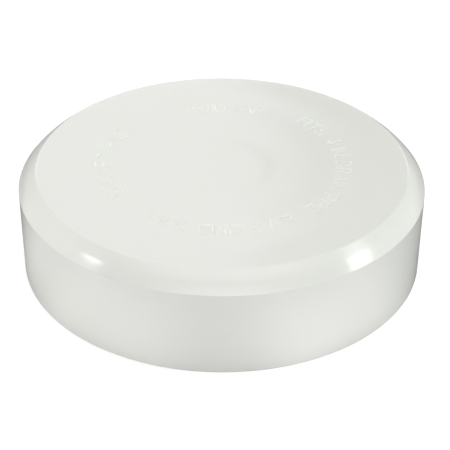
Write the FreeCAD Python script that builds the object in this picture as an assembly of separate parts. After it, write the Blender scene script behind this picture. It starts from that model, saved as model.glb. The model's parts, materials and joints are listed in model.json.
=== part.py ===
import FreeCAD, Part
import math
import os

from FreeCAD import Placement, Rotation, Vector

# Push-on end cap for 4 inch sewer and drain pipe, moulded in rigid PVC. Millimetres.
# The cap stands on its rim with the open mouth down. The origin is the centre of the rim plane,
# +Z points up through the closed face, and the words on the face read from the -Y side.

# Socket and skirt
PIPE_RADIUS = 107.1 / 2       # the pipe that the cap closes, 4.215 in across
CEMENT_GAP = 0.25             # radial room between the pipe and the socket
SKIRT_WALL = 2.55
LEAD_IN = 1.0                 # bevel inside the mouth that centres the pipe
SOCKET_DEPTH = 22.0           # rim to the ledge that stops the pipe
LEDGE_WIDTH = 2.0

# Closed end
HEIGHT = 29.2                 # rim to the outer face, without the raised words
CHAMFER = 5.0                 # 45 degree band between the skirt and the face
END_WALL = 3.0
CORNER_WALL = 2.9             # thickness through the chamfer band
POCKET_DRAFT = 0.3            # how far the pocket wall above the ledge leans inwards

# Rounded edges
FACE_EDGE_ROUND = 0.9
CREASE_ROUND = 0.3
RIM_ROUND = 0.3
POCKET_ROUND = 0.8

# Raised words, one group to each quarter of the face
RELIEF = 0.25
STROKE = 0.14                 # stroke thickness over the height between stroke centres
WORD_GAP = 0.5                # extra room between words, over that same height

SOCKET_RADIUS = PIPE_RADIUS + CEMENT_GAP
OUTER_RADIUS = SOCKET_RADIUS + SKIRT_WALL
CREASE_Z = HEIGHT - CHAMFER
FACE_RADIUS = OUTER_RADIUS - CHAMFER
INNER_FACE_Z = HEIGHT - END_WALL

# Each group: words, radius of the ring through the letters' middles, the angle of its centre
# and the angle it spans (degrees from +X), letter height, whether the letters' tops point outwards
WORD_GROUPS = {
    "front_lettering": ("PIPE END CAP", 34.0, -90.6, 68.0, 4.9, False),
    "left_lettering": ("SOCKET END", 32.9, 179.0, 68.0, 4.7, True),
    "back_lettering": ("RIGID PVC", 31.8, 87.0, 46.0, 4.5, True),
    "right_lettering": ("FITS 4 IN DRAIN PIPE", 33.8, 0.5, 95.0, 4.5, True),
}


def line(x0, y0, x1, y1):
    return ("line", (x0, y0), (x1, y1))


def path(*points):
    return [("line", a, b) for a, b in zip(points, points[1:])]


def arc(x, y, radius, start, end):
    return ("arc", (x, y), radius, start, end)


# Block letters: for each one the centre lines of its strokes, in a box one unit high, and its width
BOWL = path((0, 0), (0, 1), (0.35, 1)) + [arc(0.35, 0.73, 0.27, -90, 90), line(0, 0.46, 0.35, 0.46)]
ROUND_LEFT = [arc(0.35, 0.65, 0.35, 90, 180), line(0, 0.35, 0, 0.65), arc(0.35, 0.35, 0.35, 180, 270)]
LETTERS = {
    "4": (0.65, path((0.5, 0), (0.5, 1), (0, 0.3), (0.65, 0.3))),
    "A": (0.8, path((0, 0), (0.4, 1), (0.8, 0)) + [line(0.144, 0.36, 0.656, 0.36)]),
    "C": (0.66, ROUND_LEFT + [arc(0.35, 0.65, 0.35, 30, 90), arc(0.35, 0.35, 0.35, 270, 330)]),
    "D": (0.7, path((0.3, 0), (0, 0), (0, 1), (0.3, 1))
          + [arc(0.3, 0.6, 0.4, 0, 90), line(0.7, 0.4, 0.7, 0.6), arc(0.3, 0.4, 0.4, 270, 360)]),
    "E": (0.6, path((0.6, 0), (0, 0), (0, 1), (0.6, 1)) + [line(0, 0.5, 0.5, 0.5)]),
    "F": (0.6, path((0, 0), (0, 1), (0.6, 1)) + [line(0, 0.5, 0.5, 0.5)]),
    "G": (0.7, ROUND_LEFT + [arc(0.35, 0.65, 0.35, 30, 90), arc(0.35, 0.35, 0.35, 270, 360)]
          + path((0.7, 0.35), (0.7, 0.48), (0.42, 0.48))),
    "I": (0.0, [line(0, 0, 0, 1)]),
    "K": (0.65, [line(0, 0, 0, 1), line(0.62, 1, 0, 0.36), line(0.2, 0.566, 0.65, 0)]),
    "N": (0.7, path((0, 0), (0, 1), (0.7, 0), (0.7, 1))),
    "O": (0.7, ROUND_LEFT + [arc(0.35, 0.65, 0.35, 0, 90), line(0.7, 0.35, 0.7, 0.65),
                             arc(0.35, 0.35, 0.35, 270, 360)]),
    "P": (0.62, BOWL),
    "R": (0.62, BOWL + [line(0.3, 0.46, 0.62, 0)]),
    "S": (0.6, [arc(0.35, 0.75, 0.25, 25, 90), line(0.25, 1, 0.35, 1), arc(0.25, 0.75, 0.25, 90, 270),
                line(0.25, 0.5, 0.35, 0.5), arc(0.35, 0.25, 0.25, -90, 90), line(0.25, 0, 0.35, 0),
                arc(0.25, 0.25, 0.25, 205, 270)]),
    "T": (0.7, [line(0, 1, 0.7, 1), line(0.35, 0, 0.35, 1)]),
    "V": (0.75, path((0, 1), (0.375, 0), (0.75, 1))),
}


def circle_edges(solid, radius, z):
    """The solid's circular edges of this radius at this height."""
    return [
        e for e in solid.Edges
        if isinstance(e.Curve, Part.Circle)
        and abs(e.Curve.Radius - radius) < 1e-6
        and abs(e.Curve.Center.z - z) < 1e-6
    ]


def cap_shell():
    """The whole moulding: skirt, chamfer band, end wall, socket, pipe stop and lead-in, turned about Z."""
    ledge_radius = SOCKET_RADIUS - LEDGE_WIDTH
    pocket_top_radius = ledge_radius - POCKET_DRAFT
    # the inside of the corner runs parallel to the chamfer: radius + height is the same along it
    corner_sum = OUTER_RADIUS + CREASE_Z - CORNER_WALL * math.sqrt(2)
    inner_face_radius = corner_sum - INNER_FACE_Z
    outline = [
        (0, HEIGHT),
        (FACE_RADIUS, HEIGHT),
        (OUTER_RADIUS, CREASE_Z),
        (OUTER_RADIUS, 0),
        (SOCKET_RADIUS + LEAD_IN, 0),
        (SOCKET_RADIUS, LEAD_IN),
        (SOCKET_RADIUS, SOCKET_DEPTH),
        (ledge_radius, SOCKET_DEPTH),
        (pocket_top_radius, corner_sum - pocket_top_radius),
        (inner_face_radius, INNER_FACE_Z),
        (0, INNER_FACE_Z),
        (0, HEIGHT),
    ]
    wire = Part.makePolygon([Vector(r, 0, z) for r, z in outline])
    solid = Part.Face(wire).revolve(Vector(0, 0, 0), Vector(0, 0, 1), 360)
    rounds = [
        (FACE_EDGE_ROUND, FACE_RADIUS, HEIGHT),
        (CREASE_ROUND, OUTER_RADIUS, CREASE_Z),
        (RIM_ROUND, OUTER_RADIUS, 0),
        (POCKET_ROUND, inner_face_radius, INNER_FACE_Z),
    ]
    for size, radius, z in rounds:
        solid = solid.makeFillet(size, circle_edges(solid, radius, z))
    return solid


def stroke_solid(stroke, scale):
    """One stroke of a letter, RELIEF high, with round ends."""
    half = STROKE * scale / 2
    if stroke[0] == "line":
        a, b = [Vector(x * scale, y * scale, 0) for x, y in stroke[1:]]
        ends = [a, b]
        run = (b - a).normalize()
        side = Vector(-run.y, run.x, 0) * half
        band = Part.Face(Part.makePolygon([a + side, b + side, b - side, a - side, a + side]))
        body = band.extrude(Vector(0, 0, RELIEF))
    else:
        _, (x, y), radius, start, end = stroke
        centre = Vector(x * scale, y * scale, 0)
        turn = Placement(centre, Rotation(Vector(0, 0, 1), start))
        sweep = end - start
        body = Part.makeCylinder(radius * scale + half, RELIEF, Vector(), Vector(0, 0, 1), sweep)
        body = body.cut(Part.makeCylinder(radius * scale - half, RELIEF))
        body.Placement = turn
        angles = [math.radians(start), math.radians(end)]
        ends = [centre + Vector(math.cos(t), math.sin(t), 0) * radius * scale for t in angles]
    return body.fuse([Part.makeCylinder(half, RELIEF, point) for point in ends])


def letter_solid(letter, scale):
    """A letter lying flat, its middle at the origin and its top towards +Y."""
    width, strokes = LETTERS[letter]
    solids = [stroke_solid(s, scale) for s in strokes]
    joined = solids[0].fuse(solids[1:]) if len(solids) > 1 else solids[0]
    joined = joined.removeSplitter()
    joined.translate(Vector(-width * scale / 2, -scale / 2, 0))
    return joined.Solids[0]


def lettering(words, ring_radius, centre_angle, span, letter_height, tops_out):
    """Letters spread evenly along an arc of the face, standing on it."""
    scale = letter_height / (1 + STROKE)
    widths = [WORD_GAP * scale if c == " " else (LETTERS[c][0] + STROKE) * scale for c in words]
    arc_length = math.radians(span) * ring_radius
    gap = (arc_length - sum(widths)) / (len(words) - 1)
    clockwise = -1 if tops_out else 1
    solids = []
    along = -arc_length / 2
    for character, width in zip(words, widths):
        if character != " ":
            angle = math.radians(centre_angle) + clockwise * (along + width / 2) / ring_radius
            place = Vector(math.cos(angle), math.sin(angle), 0) * ring_radius + Vector(0, 0, HEIGHT)
            turn = math.degrees(angle) - 90 * (1 if tops_out else -1)
            solid = letter_solid(character, scale)
            solid.Placement = Placement(place, Rotation(Vector(0, 0, 1), turn)).multiply(solid.Placement)
            solids.append(solid)
        along += width + gap
    return Part.makeCompound(solids)


os.makedirs("parts", exist_ok=True)
cap_shell().exportStep("parts/cap_shell.step")
for node, group in WORD_GROUPS.items():
    lettering(*group).exportStep(f"parts/{node}.step")
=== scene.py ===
import json
import math

import bmesh
import bpy
from mathutils import Matrix, Vector


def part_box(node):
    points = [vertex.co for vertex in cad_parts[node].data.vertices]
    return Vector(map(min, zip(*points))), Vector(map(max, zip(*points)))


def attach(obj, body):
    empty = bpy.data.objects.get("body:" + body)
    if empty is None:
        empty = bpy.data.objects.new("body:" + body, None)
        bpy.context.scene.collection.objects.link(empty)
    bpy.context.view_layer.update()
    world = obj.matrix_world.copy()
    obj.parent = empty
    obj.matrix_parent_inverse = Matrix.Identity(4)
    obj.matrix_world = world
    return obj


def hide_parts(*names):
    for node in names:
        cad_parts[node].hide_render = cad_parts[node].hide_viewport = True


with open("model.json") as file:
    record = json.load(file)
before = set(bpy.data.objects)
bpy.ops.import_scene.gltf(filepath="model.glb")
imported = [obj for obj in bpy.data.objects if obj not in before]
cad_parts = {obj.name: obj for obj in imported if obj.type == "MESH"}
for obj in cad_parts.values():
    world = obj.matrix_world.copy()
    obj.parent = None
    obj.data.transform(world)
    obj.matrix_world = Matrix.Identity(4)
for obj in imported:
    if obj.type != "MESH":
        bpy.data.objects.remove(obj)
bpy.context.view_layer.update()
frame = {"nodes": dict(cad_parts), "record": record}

MM = 0.001

# ---------------------------------------------------------------- sizes, in metres, from the frame
shell_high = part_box("cap_shell")[1]
mounts = {mount["name"]: mount for mount in frame["record"]["mounts"]}
OUTER_RADIUS = shell_high.x
HEIGHT = shell_high.z
SOCKET_RADIUS = mounts["socket"]["dims"]["r_mm"] * MM
LEDGE_Z = mounts["pipe_stop"]["pos_m"][2]

# sizes that the CAD model has too
CHAMFER = 5.0 * MM
END_WALL = 3.0 * MM
CORNER_WALL = 2.9 * MM
LEDGE_WIDTH = 2.0 * MM
POCKET_DRAFT = 0.3 * MM
LEAD_IN = 1.0 * MM

CREASE_Z = HEIGHT - CHAMFER
FACE_RADIUS = OUTER_RADIUS - CHAMFER
INNER_FACE_Z = HEIGHT - END_WALL
LEDGE_RADIUS = SOCKET_RADIUS - LEDGE_WIDTH
POCKET_TOP_RADIUS = LEDGE_RADIUS - POCKET_DRAFT
# the inside of the corner runs parallel to the chamfer: radius + height is the same along it
CORNER_SUM = OUTER_RADIUS + CREASE_Z - CORNER_WALL * math.sqrt(2)
INNER_FACE_RADIUS = CORNER_SUM - INNER_FACE_Z

# ---------------------------------------------------------------- the moulded shell
SEGMENTS = 288                # around the axis
LONGEST_RUN = 1.2 * MM        # between rings on the straight stretches
ARC_STEP = 0.45 * MM          # between rings on the wide arc of the chamfer
FEWEST_ARC_STEPS = 6          # on the small roundings
HOLD = 0.12 * MM              # rings this close to a rounded edge keep its shading off the flats
ON_AXIS = 1e-9                # a point with a smaller radius than this is one vertex, not a ring

CHAMFER_BULGE = 0.4 * MM      # the tangents at its edges meet this far outside the straight chamfer
CHAMFER_ARC = 25 * MM         # radius of its crown
SKIRT_DRAFT = 0.15 * MM       # the skirt is this much slimmer at the rim

# roundings of the edges
FACE_EDGE_ROUND = 0.9 * MM
CREASE_ROUND = 0.4 * MM
RIM_ROUND = 0.3 * MM
MOUTH_ROUND = 0.15 * MM
LEAD_IN_ROUND = 0.3 * MM
LEDGE_CORNER_ROUND = 0.2 * MM
LEDGE_EDGE_ROUND = 0.3 * MM
POCKET_ROUND = 0.8 * MM

# The face isn't dead flat. It has a low plateau near the middle, then a shallow trough, a rise and
# a roll-off to the edge.
PLATEAU_AT = Vector((-2.0, -2.5)) * MM
PLATEAU_RADIUS = 15.0 * MM    # to halfway down its slope
PLATEAU_SLOPE_WIDTH = 4.0 * MM
PLATEAU_HEIGHT = 0.09 * MM
FACE_WAVES = [                # share of the face's radius, lift there
    (0.0, 0.0),
    (0.45, 0.0),
    (0.66, -0.08 * MM),
    (0.82, 0.0),
    (1.0, -0.17 * MM),
]
ROLL_OFF_TOWARDS = math.radians(15)   # where the roll-off is strongest, from the front to the right
ROLL_OFF_EXTRA = 1.2          # the share that is added to it there


def rounded_corner(before, corner, after, radius):
    """Points of the arc that rounds a corner of the profile."""
    to_before = (before - corner).normalized()
    to_after = (after - corner).normalized()
    half_angle = to_before.angle(to_after) / 2
    bisector = (to_before + to_after).normalized()
    centre = corner + bisector * radius / math.sin(half_angle)
    start = corner + to_before * radius / math.tan(half_angle) - centre
    sweep = math.pi - 2 * half_angle
    turn = math.copysign(sweep, start.x * -bisector.y + start.y * bisector.x)
    steps = max(FEWEST_ARC_STEPS, math.ceil(sweep * radius / ARC_STEP))
    points = []
    for i in range(steps + 1):
        angle = turn * i / steps
        c, s = math.cos(angle), math.sin(angle)
        points.append(centre + Vector((start.x * c - start.y * s, start.x * s + start.y * c)))
    return points


def straight_run(start, end):
    """Points between start and end, with one close to each end."""
    length = (end - start).length
    if length < 3 * HOLD:
        return []
    along = (end - start) / length
    steps = math.ceil((length - 2 * HOLD) / LONGEST_RUN)
    return [start + along * (HOLD + (length - 2 * HOLD) * i / steps) for i in range(steps + 1)]


def shell_profile():
    """The cap's section as (radius, height) points: out over the face, down the skirt and back inside."""
    bulge = CHAMFER / 2 + CHAMFER_BULGE / math.sqrt(2)
    corners = [
        # radius, height, rounding
        (0, HEIGHT, 0),
        (FACE_RADIUS, HEIGHT, FACE_EDGE_ROUND),
        (FACE_RADIUS + bulge, CREASE_Z + bulge, CHAMFER_ARC),
        (OUTER_RADIUS, CREASE_Z, CREASE_ROUND),
        (OUTER_RADIUS - SKIRT_DRAFT, 0, RIM_ROUND),
        (SOCKET_RADIUS + LEAD_IN, 0, MOUTH_ROUND),
        (SOCKET_RADIUS, LEAD_IN, LEAD_IN_ROUND),
        (SOCKET_RADIUS, LEDGE_Z, LEDGE_CORNER_ROUND),
        (LEDGE_RADIUS, LEDGE_Z, LEDGE_EDGE_ROUND),
        (POCKET_TOP_RADIUS, CORNER_SUM - POCKET_TOP_RADIUS, POCKET_ROUND),
        (INNER_FACE_RADIUS, INNER_FACE_Z, POCKET_ROUND),
        (0, INNER_FACE_Z, 0),
    ]
    places = [Vector(corner[:2]) for corner in corners]
    points = [places[0]]
    for i in range(1, len(corners)):
        if i == len(corners) - 1:
            bend = [places[i]]
        else:
            bend = rounded_corner(places[i - 1], places[i], places[i + 1], corners[i][2])
        points += straight_run(points[-1], bend[0]) + bend
    return points


def smooth(share):
    """0 to 1 with level ends."""
    share = min(1.0, max(0.0, share))
    return share * share * (3 - 2 * share)


def face_lift(x, y):
    """How far the outer face stands above its nominal plane at this place."""
    from_plateau = (Vector((x, y)) - PLATEAU_AT).length
    plateau = PLATEAU_HEIGHT * smooth((PLATEAU_RADIUS - from_plateau) / PLATEAU_SLOPE_WIDTH + 0.5)
    share = min(1.0, math.hypot(x, y) / FACE_RADIUS)
    for (inner, low), (outer, high) in zip(FACE_WAVES, FACE_WAVES[1:]):
        if inner <= share <= outer:
            break
    wave = low + (high - low) * smooth((share - inner) / (outer - inner))
    if (outer, high) == FACE_WAVES[-1]:
        towards = max(0.0, math.cos(math.atan2(x, -y) - ROLL_OFF_TOWARDS))
        wave *= 1 + ROLL_OFF_EXTRA * towards ** 2
    return plateau + wave


def turned_mesh(name, profile):
    """A closed mesh of the profile turned about Z. The profile starts and ends on the axis."""
    bm = bmesh.new()
    turn = 2 * math.pi / SEGMENTS
    rings = []
    for point in profile:
        if point.x < ON_AXIS:
            rings.append([bm.verts.new((0, 0, point.y))])
            continue
        rings.append([
            bm.verts.new((point.x * math.sin(turn * i), -point.x * math.cos(turn * i), point.y))
            for i in range(SEGMENTS)
        ])
    for upper, lower in zip(rings, rings[1:]):
        for i in range(SEGMENTS):
            j = (i + 1) % SEGMENTS
            if len(upper) == 1:
                bm.faces.new((upper[0], lower[i], lower[j]))
            elif len(lower) == 1:
                bm.faces.new((upper[j], upper[i], lower[0]))
            else:
                bm.faces.new((upper[i], lower[i], lower[j], upper[j]))
    mesh = bpy.data.meshes.new(name)
    bm.to_mesh(mesh)
    bm.free()
    return mesh


def add_piece(name, mesh, material):
    """A smooth-shaded visual piece of the moulding."""
    for polygon in mesh.polygons:
        polygon.use_smooth = True
    piece = bpy.data.objects.new(name, mesh)
    bpy.context.scene.collection.objects.link(piece)
    mesh.materials.append(material)
    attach(piece, "root")
    return piece


def make_shell(material):
    """The turned shell, with the unevenness of its face fading out through the end wall."""
    mesh = turned_mesh("moulded_shell", shell_profile())
    for vertex in mesh.vertices:
        share = smooth((vertex.co.z - INNER_FACE_Z) / END_WALL)
        vertex.co.z += face_lift(vertex.co.x, vertex.co.y) * share
    shell = add_piece("moulded_shell", mesh, material)
    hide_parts("cap_shell")


# ---------------------------------------------------------------- the raised words
LETTER_SLOPE = 0.24 * MM      # width of the sloping side of each stroke
LETTER_HEIGHT = 0.11 * MM     # moulded letters are lower and softer than the CAD model's
LETTER_ROOT = 0.25 * MM       # how far each letter reaches down into the face
SLOPE_STEPS = 6               # of each sloping side
SLOPE_PROFILE = 0.25          # a straight bevel
WELD = 0.001 * MM             # vertices this close are one
FLAT = math.radians(0.5)      # faces that meet at less than this angle are one
TOP_BAND = 0.01 * MM          # the letters' tops lie within this of the highest point
TOP_TO_SIDE = 0.5             # normals differ by more than this in height where a top meets a side
CLIMB_ERROR = 0.01            # in the share of the slope that a point has climbed


def make_lettering(node, material):
    """The node's letters as soft low ridges, rooted in the face."""
    bm = bmesh.new()
    bm.from_mesh(frame["nodes"][node].data)
    bmesh.ops.remove_doubles(bm, verts=bm.verts, dist=WELD)
    bmesh.ops.dissolve_limit(bm, angle_limit=FLAT, verts=bm.verts, edges=bm.edges)
    top = max(vertex.co.z for vertex in bm.verts)
    rims = [
        edge for edge in bm.edges
        if all(vertex.co.z > top - TOP_BAND for vertex in edge.verts)
        and len(edge.link_faces) == 2
        and abs(edge.link_faces[0].normal.z - edge.link_faces[1].normal.z) > TOP_TO_SIDE
    ]
    bmesh.ops.bevel(bm, geom=rims, offset=LETTER_SLOPE, segments=SLOPE_STEPS, profile=SLOPE_PROFILE,
                    affect="EDGES")
    # the bevel climbs as far as it goes inwards, so the height so far tells how far up the slope a point is
    climbs = {vertex: 1 + (vertex.co.z - top) / LETTER_SLOPE for vertex in bm.verts}
    for edge in bm.edges:
        edge.smooth = any(abs(climbs[vertex]) > CLIMB_ERROR for vertex in edge.verts)
    for vertex, climb in climbs.items():
        rise = LETTER_HEIGHT * smooth(climb) if climb > -CLIMB_ERROR else -LETTER_ROOT
        vertex.co.z = HEIGHT + face_lift(vertex.co.x, vertex.co.y) + rise
    mesh = bpy.data.meshes.new("raised_" + node)
    bm.to_mesh(mesh)
    bm.free()
    words = add_piece("raised_" + node, mesh, material)
    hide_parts(node)


# ---------------------------------------------------------------- the plastic
PVC_DARKER = (0.795, 0.806, 0.762, 1)
PVC_LIGHTER = (0.805, 0.815, 0.773, 1)
PVC_IOR = 1.52
ROUGHNESS_LOW = 0.10
ROUGHNESS_HIGH = 0.15
NOISE_LOW = 0.3               # most of a noise texture's values lie between these two
NOISE_HIGH = 0.7
MOTTLE = (55.0, 3.0)          # noise scale, in features per metre, and detail
POLISH = (180.0, 4.0)
SKIN = (700.0, 2.0)
SKIN_STRENGTH = 0.05
SKIN_DEPTH = 0.02 * MM


def add_node(tree, kind, inputs=None, **settings):
    """A new node with its settings. Each input is a value or another node's output."""
    node = tree.nodes.new(kind)
    for key, value in settings.items():
        setattr(node, key, value)
    for key, value in (inputs or {}).items():
        if isinstance(value, bpy.types.NodeSocket):
            tree.links.new(value, node.inputs[key])
        else:
            node.inputs[key].default_value = value
    return node


def add_noise(tree, place, scale, detail):
    """The value of a noise texture at the place."""
    noise = add_node(tree, "ShaderNodeTexNoise", {"Vector": place, "Scale": scale, "Detail": detail})
    return noise.outputs["Fac"]


def white_pvc():
    """Glossy off-white rigid PVC: faint mottling in the colour, uneven polish and a fine skin texture."""
    material = bpy.data.materials.new("white_pvc")
    material.use_nodes = True
    tree = material.node_tree
    shader = tree.nodes["Principled BSDF"]
    place = add_node(tree, "ShaderNodeTexCoord").outputs["Object"]

    mottle = add_noise(tree, place, *MOTTLE)
    colour = add_node(tree, "ShaderNodeValToRGB", {"Fac": mottle})
    darker, lighter = colour.color_ramp.elements
    darker.position = NOISE_LOW
    darker.color = PVC_DARKER
    lighter.position = NOISE_HIGH
    lighter.color = PVC_LIGHTER
    tree.links.new(colour.outputs["Color"], shader.inputs["Base Color"])

    polish = add_noise(tree, place, *POLISH)
    roughness = add_node(tree, "ShaderNodeMapRange", {
        "Value": polish, "From Min": NOISE_LOW, "From Max": NOISE_HIGH,
        "To Min": ROUGHNESS_LOW, "To Max": ROUGHNESS_HIGH,
    })
    tree.links.new(roughness.outputs["Result"], shader.inputs["Roughness"])

    skin = add_noise(tree, place, *SKIN)
    bump = add_node(tree, "ShaderNodeBump", {
        "Height": skin, "Strength": SKIN_STRENGTH, "Distance": SKIN_DEPTH,
    })
    tree.links.new(bump.outputs["Normal"], shader.inputs["Normal"])
    shader.inputs["IOR"].default_value = PVC_IOR
    return material


# ---------------------------------------------------------------- studio
CAMERA_DISTANCE = 7.35        # in outer radii, like the aim height
CAMERA_AIM_HEIGHT = 0.152
CAMERA_ELEVATION = 33.0       # degrees
CAMERA_ROLL = math.radians(0.33)
CAMERA_LENS = 116.2           # mm
CAMERA_SENSOR = 36.0          # mm
CAMERA_SHIFT = 0.0076
CLIP_START = 0.01             # metres
CLIP_END = 50.0

FLOOR_SIZE = 12.0             # metres
FLOOR_WHITE = (0.6, 0.6, 0.6, 1)   # what the camera sees of the table near by, with a glow added
FLOOR_GLOW = 0.55
TABLE_TONE = 0.25             # what the object sees of the table
BACKDROP = (0.72, 0.72, 0.72, 1)   # what the camera sees of the dome and of the far table
FADE_FROM = 4.0               # the table fades into the backdrop between these distances from the
FADE_TO = 16.0                # object, in outer radii

WHITE = (1, 1, 1)
GREENISH = (0.985, 1.005, 0.985)
WARM = (1.02, 1, 0.985)
ROSY = (1.03, 0.98, 1)
LILAC = (1, 0.97, 1.05)

# Each soft light is a round patch of the dome: azimuth (0 is the camera's side, 90 its right) and elevation
# of its middle, the angles from there where it starts to fade and where it ends, its brightness and tint
SOFT_LIGHTS = {
    "overhead": (180, 84, 24, 38, 1.2, WHITE),
    "front_low": (0, 12, 8, 50, 2.2, WHITE),
    "left_mid": (-107, 36, 16, 27, 0.5, WARM),
    "right_low": (100, 12, 8, 40, 1.2, GREENISH),
    "left_low": (-100, 12, 8, 40, 1.2, WARM),
    "back_side_right": (138, 4, 8, 26, 0.7, WHITE),
    "back_side_left": (-138, 4, 8, 26, 0.7, WHITE),
    "back_card": (-156.5, 31, 21, 24.5, 0.9, WHITE),
    "back_low": (180, 6, 6, 18, 3.2, WHITE),
    "back_low_right": (155, 15, 4, 13, 1.9, WHITE),
    "back_low_left": (-155, 15, 4, 13, 1.4, WHITE),
    "key_right": (87, 35, 4.5, 7.5, 10.0, WHITE),
    "key_right_low": (82, 27, 4.5, 8, 7.0, WHITE),
    "key_right_high": (95, 43, 4, 7.5, 4.0, WHITE),
    "key_left": (-81, 36, 4, 6.5, 5.8, WHITE),
    "key_left_low": (-76, 27, 4, 7, 1.5, WHITE),
}

# Pools of light on the table, seen by the object only: azimuth, distance and size in outer radii,
# brightness and tint
TABLE_POOLS = {
    "front": (0, 2.0, 1.4, 0.6, WHITE),
    "broad_left": (-55, 2.0, 1.4, 0.55, WHITE),
    "broad_right": (55, 2.0, 1.4, 0.3, WHITE),
    "front_left": (-25, 1.35, 0.55, 0.6, WHITE),
    "left": (-50, 1.35, 0.55, 0.6, ROSY),
    "far_left": (-80, 1.35, 0.55, 0.5, ROSY),
    "front_right": (25, 1.35, 0.55, 0.8, LILAC),
    "right": (50, 1.35, 0.55, 0.5, WHITE),
}


def direction(azimuth, elevation):
    """Unit vector from the object: azimuth 0 is the camera's side, 90 its right."""
    a, e = math.radians(azimuth), math.radians(elevation)
    return Vector((math.sin(a) * math.cos(e), -math.cos(a) * math.cos(e), math.sin(e)))


def add_all(tree, shaders):
    """The sum of some shaders' light."""
    total = shaders[0]
    for shader in shaders[1:]:
        total = add_node(tree, "ShaderNodeAddShader", {0: total, 1: shader}).outputs[0]
    return total


def by_ray(tree, seen, felt):
    """One shader for what the camera sees and another for the light and reflections on the object."""
    camera_ray = add_node(tree, "ShaderNodeLightPath").outputs["Is Camera Ray"]
    return add_node(tree, "ShaderNodeMixShader", {0: camera_ray, 1: felt, 2: seen}).outputs[0]


def smooth_step(tree, value, low, high, low_to=0.0, high_to=1.0):
    """Goes from low_to to high_to, with level ends, as the value goes from low to high."""
    step = add_node(tree, "ShaderNodeMapRange", {
        "Value": value, "From Min": low, "From Max": high, "To Min": low_to, "To Max": high_to,
    }, interpolation_type="SMOOTHSTEP")
    return step.outputs["Result"]


def add_emission(tree, colour, strength):
    """The output of a glowing shader."""
    return add_node(tree, "ShaderNodeEmission", {"Color": colour, "Strength": strength}).outputs[0]


def make_dome():
    """A soft studio dome for the object; in the picture it is a plain pale backdrop."""
    world = bpy.data.worlds.new("studio_dome")
    bpy.context.scene.world = world
    world.use_nodes = True
    tree = world.node_tree
    tree.nodes.clear()
    lights = []
    looking = add_node(tree, "ShaderNodeTexCoord").outputs["Generated"]
    for azimuth, elevation, fade_from, fade_to, brightness, tint in SOFT_LIGHTS.values():
        facing = add_node(tree, "ShaderNodeVectorMath", {0: looking, 1: direction(azimuth, elevation)},
                          operation="DOT_PRODUCT").outputs["Value"]
        edge, full = math.cos(math.radians(fade_to)), math.cos(math.radians(fade_from))
        strength = smooth_step(tree, facing, edge, full, 0.0, brightness)
        light = add_node(tree, "ShaderNodeBackground", {"Color": (*tint, 1), "Strength": strength})
        lights.append(light.outputs[0])
    plain = add_node(tree, "ShaderNodeBackground", {"Color": BACKDROP, "Strength": 1.0}).outputs[0]
    add_node(tree, "ShaderNodeOutputWorld", {"Surface": by_ray(tree, plain, add_all(tree, lights))})


def table_seen(tree, place):
    """The table in the picture: white near by, and fading into the backdrop far away."""
    white = add_node(tree, "ShaderNodeBsdfDiffuse", {"Color": FLOOR_WHITE}).outputs[0]
    near_by = add_all(tree, [white, add_emission(tree, (1, 1, 1, 1), FLOOR_GLOW)])
    distance = add_node(tree, "ShaderNodeVectorMath", {0: place}, operation="LENGTH").outputs["Value"]
    fade = smooth_step(tree, distance, FADE_FROM * OUTER_RADIUS, FADE_TO * OUTER_RADIUS)
    far_away = add_emission(tree, BACKDROP, 1.0)
    return add_node(tree, "ShaderNodeMixShader", {0: fade, 1: near_by, 2: far_away}).outputs[0]


def table_felt(tree, place):
    """The table as the object sees it: grey, with pools of light in front."""
    grey = (TABLE_TONE, TABLE_TONE, TABLE_TONE, 1)
    pools = [add_node(tree, "ShaderNodeBsdfDiffuse", {"Color": grey}).outputs[0]]
    for azimuth, distance, size, brightness, tint in TABLE_POOLS.values():
        middle = direction(azimuth, 0) * distance * OUTER_RADIUS
        away = add_node(tree, "ShaderNodeVectorMath", {0: place, 1: middle}, operation="DISTANCE")
        strength = smooth_step(tree, away.outputs["Value"], 0.0, size * OUTER_RADIUS, brightness, 0.0)
        pools.append(add_emission(tree, (*tint, 1), strength))
    return add_all(tree, pools)


def table_top():
    """The table's material: one look for the picture and another for the object."""
    material = bpy.data.materials.new("floor")
    material.use_nodes = True
    tree = material.node_tree
    tree.nodes.clear()
    place = add_node(tree, "ShaderNodeTexCoord").outputs["Object"]
    surface = by_ray(tree, table_seen(tree, place), table_felt(tree, place))
    add_node(tree, "ShaderNodeOutputMaterial", {"Surface": surface})
    return material


def make_floor():
    """The plain table that the cap stands on."""
    bm = bmesh.new()
    bmesh.ops.create_grid(bm, x_segments=1, y_segments=1, size=FLOOR_SIZE / 2)
    mesh = bpy.data.meshes.new("floor")
    bm.to_mesh(mesh)
    bm.free()
    mesh.materials.append(table_top())
    floor = bpy.data.objects.new("floor", mesh)
    bpy.context.scene.collection.objects.link(floor)


def make_camera():
    """A long lens in front of the cap, looking down at it."""
    data = bpy.data.cameras.new("camera")
    data.lens = CAMERA_LENS
    data.sensor_width = CAMERA_SENSOR
    data.shift_x = CAMERA_SHIFT
    data.clip_start = CLIP_START
    data.clip_end = CLIP_END
    camera = bpy.data.objects.new("camera", data)
    towards = direction(0, CAMERA_ELEVATION)
    aim = Vector((0, 0, CAMERA_AIM_HEIGHT * OUTER_RADIUS))
    camera.rotation_mode = "QUATERNION"
    level = towards.to_track_quat("Z", "Y")
    roll = Matrix.Rotation(CAMERA_ROLL, 3, "Z").to_quaternion()
    camera.rotation_quaternion = level @ roll
    camera.location = aim + towards * CAMERA_DISTANCE * OUTER_RADIUS
    bpy.context.scene.collection.objects.link(camera)
    bpy.context.scene.camera = camera


bpy.context.scene.view_settings.view_transform = "Standard"
plastic = white_pvc()
make_shell(plastic)
for node in ("front_lettering", "left_lettering", "back_lettering", "right_lettering"):
    make_lettering(node, plastic)
make_floor()
make_dome()
make_camera()
